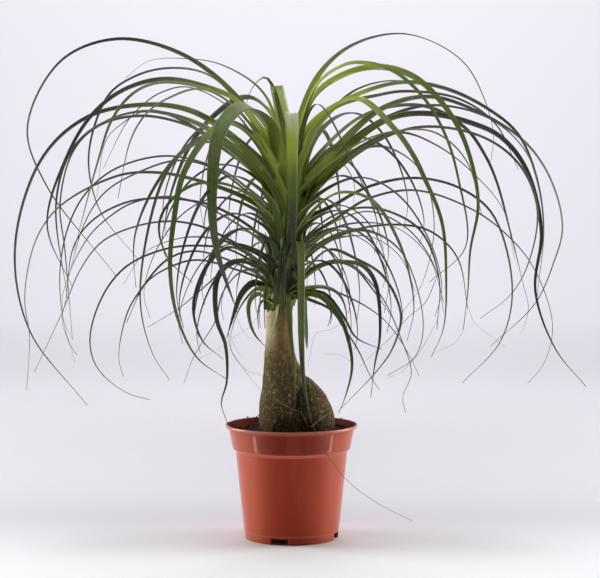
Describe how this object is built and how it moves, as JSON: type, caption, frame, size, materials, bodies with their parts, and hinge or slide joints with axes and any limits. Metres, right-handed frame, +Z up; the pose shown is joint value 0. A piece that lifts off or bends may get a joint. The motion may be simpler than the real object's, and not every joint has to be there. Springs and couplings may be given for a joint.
{
  "type": "potted ponytail palm",
  "caption": "Ponytail palm with a fountain of long drooping leaves on a short stem and swollen base, in a tapered plastic nursery pot.",
  "frame": {"origin": "on the pot's axis, on the surface the pot stands on, which is the middle of the bottom of the object's box", "axes": "+Z up, +X to the right along the widest reach of the leaves, -Y towards the viewer of the picture"},
  "size_m": [0.5122, 0.3808, 0.4628],
  "materials": {
    "pot": "satin",
    "soil": "matte",
    "bark": "matte",
    "leaf": "satin"
  },
  "bodies": {
    "root": {"pot": "pot", "soil": "soil", "trunk": "bark", "leaf_crown": "leaf"}
  },
  "joints": []
}
